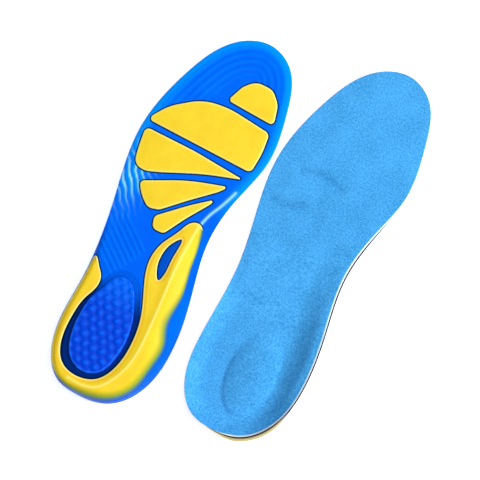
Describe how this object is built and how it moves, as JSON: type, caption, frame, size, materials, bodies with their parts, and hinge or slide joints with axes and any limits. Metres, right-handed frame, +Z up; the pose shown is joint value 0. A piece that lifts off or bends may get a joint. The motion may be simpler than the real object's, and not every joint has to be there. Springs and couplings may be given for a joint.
{
  "type": "cushioned insole pair",
  "caption": "Pair of full-length gel shoe insoles with textile top, heel cup, arch frame and proud cushion pads; one lies face up, the other turned over.",
  "frame": {"origin": "centre of the pair's bounding box in plan, on the surface the pair lies on", "axes": "+Y from heels to toes, +Z up, +X toward the insole that lies face up"},
  "size_m": [0.1938, 0.3118, 0.0228],
  "materials": {
    "cover_textile": "short-pile brushed textile, matt",
    "white_foam": "closed-cell foam, matt",
    "blue_gel": "glossy moulded gel",
    "deep_blue_gel": "glossy moulded gel, honeycomb relief",
    "yellow_gel": "satin moulded gel"
  },
  "bodies": {
    "left_insole": {"left_top_cover": "cover_textile", "left_foam_layer": "white_foam", "left_gel_base": "blue_gel", "left_heel_frame": "yellow_gel", "left_heel_pad": "deep_blue_gel", "left_toe_pad": "yellow_gel", "left_ball_pad_front": "yellow_gel", "left_ball_pad_middle": "yellow_gel", "left_ball_pad_rear": "yellow_gel", "left_ball_pad_slim": "yellow_gel"},
    "right_insole": {"right_top_cover": "cover_textile", "right_foam_layer": "white_foam", "right_gel_base": "blue_gel", "right_heel_frame": "yellow_gel", "right_heel_pad": "deep_blue_gel", "right_toe_pad": "yellow_gel", "right_ball_pad_front": "yellow_gel", "right_ball_pad_middle": "yellow_gel", "right_ball_pad_rear": "yellow_gel", "right_ball_pad_slim": "yellow_gel"}
  },
  "joints": [
    {"name": "right_insole_lift", "type": "slide", "parent": "left_insole", "child": "right_insole", "axis": [0, 0, 1], "range_m": [0, 0.12]}
  ]
}
